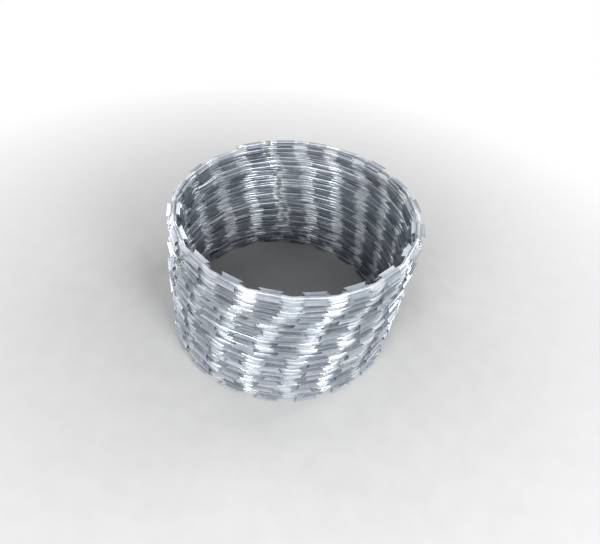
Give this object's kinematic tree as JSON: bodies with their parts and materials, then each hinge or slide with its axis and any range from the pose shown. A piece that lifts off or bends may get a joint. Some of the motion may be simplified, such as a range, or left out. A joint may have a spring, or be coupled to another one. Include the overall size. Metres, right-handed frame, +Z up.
{
  "type": "concertina razor wire coil",
  "caption": "Tight upright coil of flat barbed tape with flared blades in columns, its turns clipped together in pairs in three columns, with an open round middle.",
  "frame": {"origin": "middle of the floor under the coil, on the coil's axis", "axes": "+Z up along the coil's axis, +X to the right and +Y away from someone who stands in front of the coil"},
  "size_m": [0.3018, 0.3018, 0.1715],
  "materials": {
    "razor_tape": "hot-dip galvanised steel strip, light bluish grey, bright on the edges",
    "clips": "galvanised steel band, a darker greenish grey than the tape"
  },
  "bodies": {
    "root": {"razor_tape": "razor_tape", "clips_back": "clips", "clips_front_left": "clips", "clips_right": "clips"}
  },
  "joints": []
}
